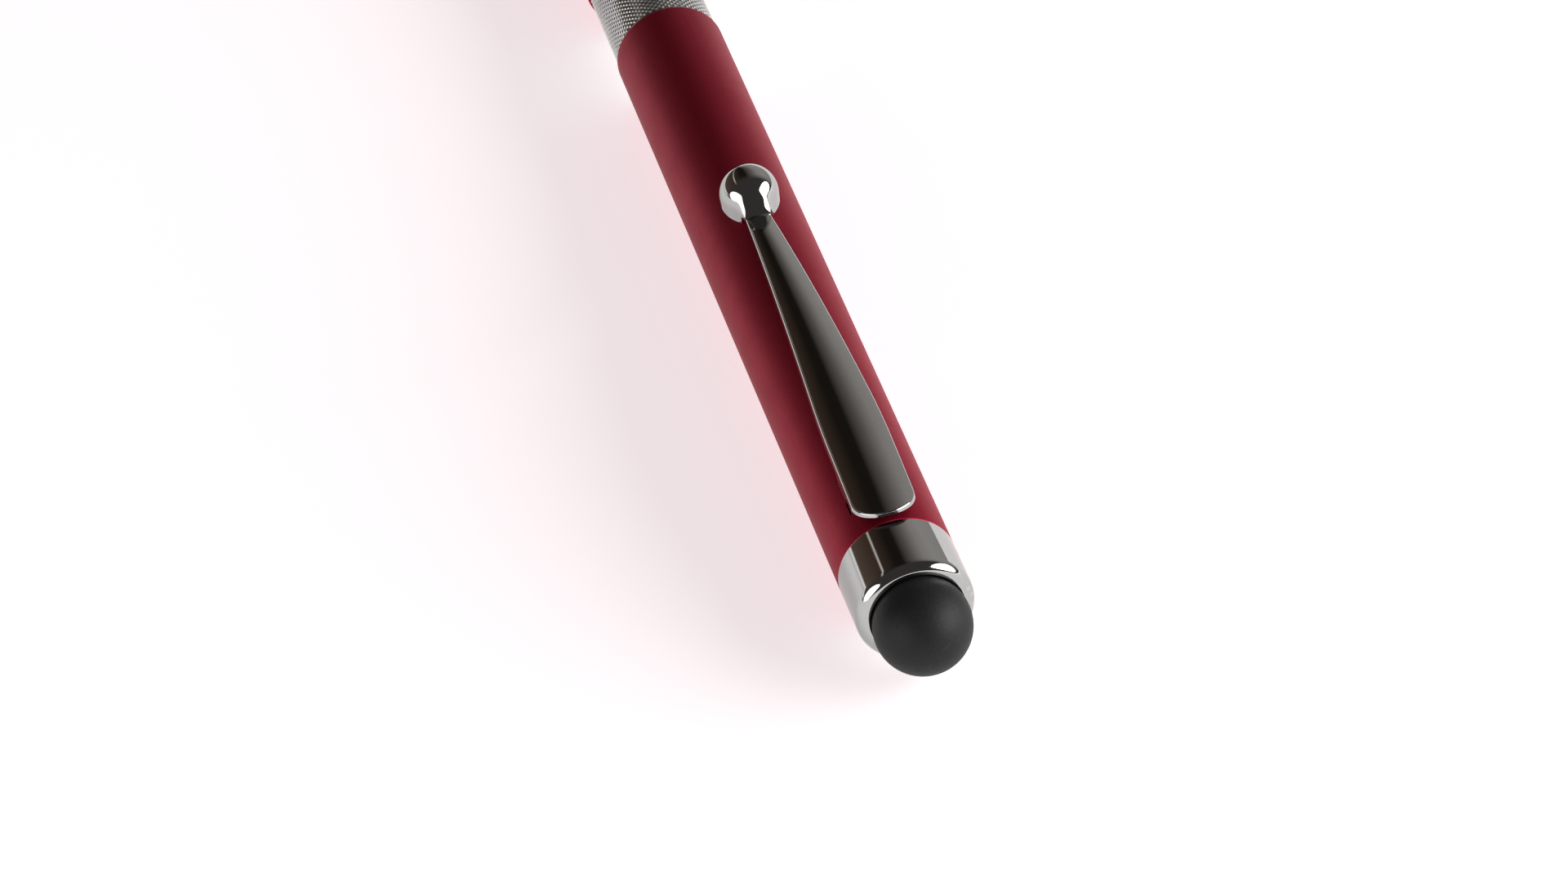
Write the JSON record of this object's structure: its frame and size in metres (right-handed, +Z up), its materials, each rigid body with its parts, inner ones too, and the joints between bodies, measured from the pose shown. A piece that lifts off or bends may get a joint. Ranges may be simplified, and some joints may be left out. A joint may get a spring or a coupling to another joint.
{
  "type": "stylus pen",
  "caption": "Twist-action ballpoint pen with a soft capacitive stylus end, a sprung ball-ended pocket clip, a knurled centre ring and a tapered nose.",
  "frame": {"origin": "middle of the pen's length, on the surface that the barrel lies on, under its axis", "axes": "+X along the pen from the stylus to the writing point, +Z up through the clip, +Y to the left of +X"},
  "size_m": [0.143, 0.01, 0.0138],
  "materials": {
    "red_barrel": "satin red anodised",
    "bright_trim": "mirror chrome plate",
    "knurled_silver": "knurled, bright silver",
    "tip_rubber": "matt conductive silicone",
    "seal_rubber": "black seal rubber",
    "inner_brass": "turned",
    "white_acetal": "moulded",
    "spring_steel": "drawn wire",
    "refill_steel": "plain"
  },
  "bodies": {
    "lower_half": {"lower_barrel": "red_barrel", "nose_cone": "bright_trim", "knurled_ring": "knurled_silver", "centre_coupling": "inner_brass", "friction_ring": "seal_rubber", "guide_tube": "inner_brass", "snap_ring": "spring_steel", "stop_collar": "inner_brass", "return_spring": "spring_steel"},
    "upper_half": {"upper_barrel": "red_barrel", "top_bushing": "inner_brass", "stylus_ferrule": "bright_trim", "stylus_tip": "tip_rubber", "tip_plug": "inner_brass", "cam_sleeve": "white_acetal"},
    "clip": {"pocket_clip": "bright_trim"},
    "refill": {"follower": "white_acetal", "cross_pin": "spring_steel", "refill_plug": "white_acetal", "refill_tube": "refill_steel", "refill_point": "refill_steel"},
    "ball": {"point_ball": "refill_steel"}
  },
  "joints": [
    {"name": "barrel_twist", "type": "hinge", "parent": "lower_half", "child": "upper_half", "pos_m": [0.01835, 0, 0.005], "axis": [1, 0, 0], "range_deg": [0, 180]},
    {"name": "refill_feed", "type": "slide", "parent": "lower_half", "child": "refill", "axis": [1, 0, 0], "range_m": [0, 0.004], "deforming": ["return_spring"]},
    {"name": "clip_flex", "type": "hinge", "parent": "upper_half", "child": "clip", "pos_m": [-0.0547, 0, 0.00895], "axis": [0, -1, 0], "range_deg": [0, 4], "stiffness_Nm_per_rad": 1.2, "springref_deg": -1.15},
    {"name": "point_roll", "type": "hinge", "parent": "refill", "child": "ball", "pos_m": [0.0702, 0, 0.005], "axis": [0, 1, 0], "continuous": true}
  ],
  "couplings": [
    {"joint": "refill_feed", "follows": "barrel_twist", "m_per_rad": 0.0012732}
  ]
}
